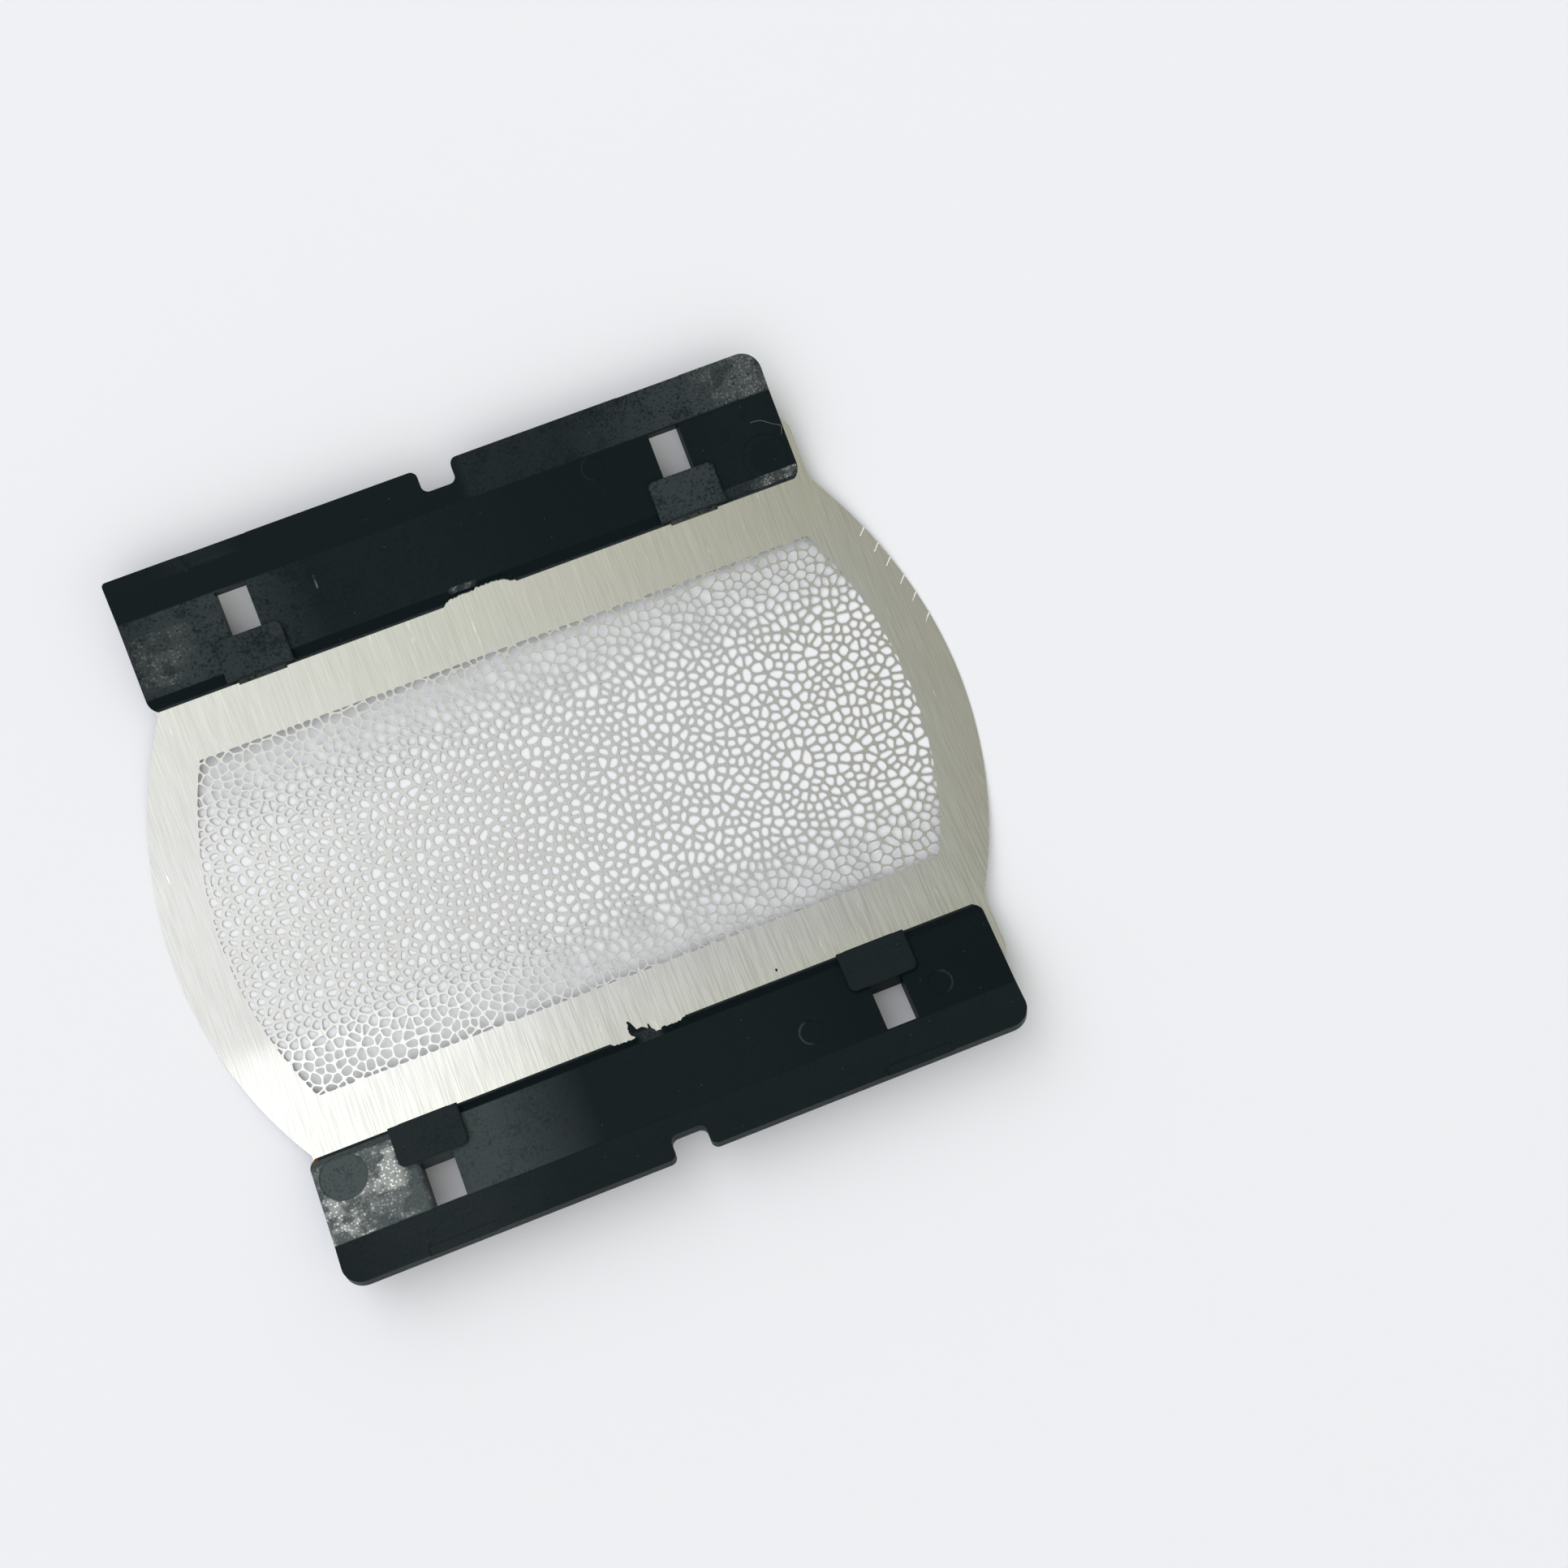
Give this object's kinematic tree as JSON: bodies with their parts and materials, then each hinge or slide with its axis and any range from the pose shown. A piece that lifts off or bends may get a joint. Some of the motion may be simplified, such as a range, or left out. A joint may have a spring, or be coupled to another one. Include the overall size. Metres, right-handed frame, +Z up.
{
  "type": "shaver foil",
  "caption": "Thin barrel-shaped perforated metal foil of an electric shaver, gently curled, held along two edges by black plastic strips with lug windows, pads and a middle notch.",
  "frame": {"origin": "centre of the object's box on the table, under the middle of the foil", "axes": "+X along the strips, +Y from the lower strip to the upper strip, +Z up from the table, out of the side that carries the pads"},
  "size_m": [0.048, 0.0428, 0.0038],
  "materials": {
    "nickel_foil": "satin, finely sanded along Y",
    "black_plastic": "satin moulded surface, lightly scuffed"
  },
  "bodies": {
    "root": {"foil": "nickel_foil", "upper_strip": "black_plastic", "lower_strip": "black_plastic"}
  },
  "joints": []
}
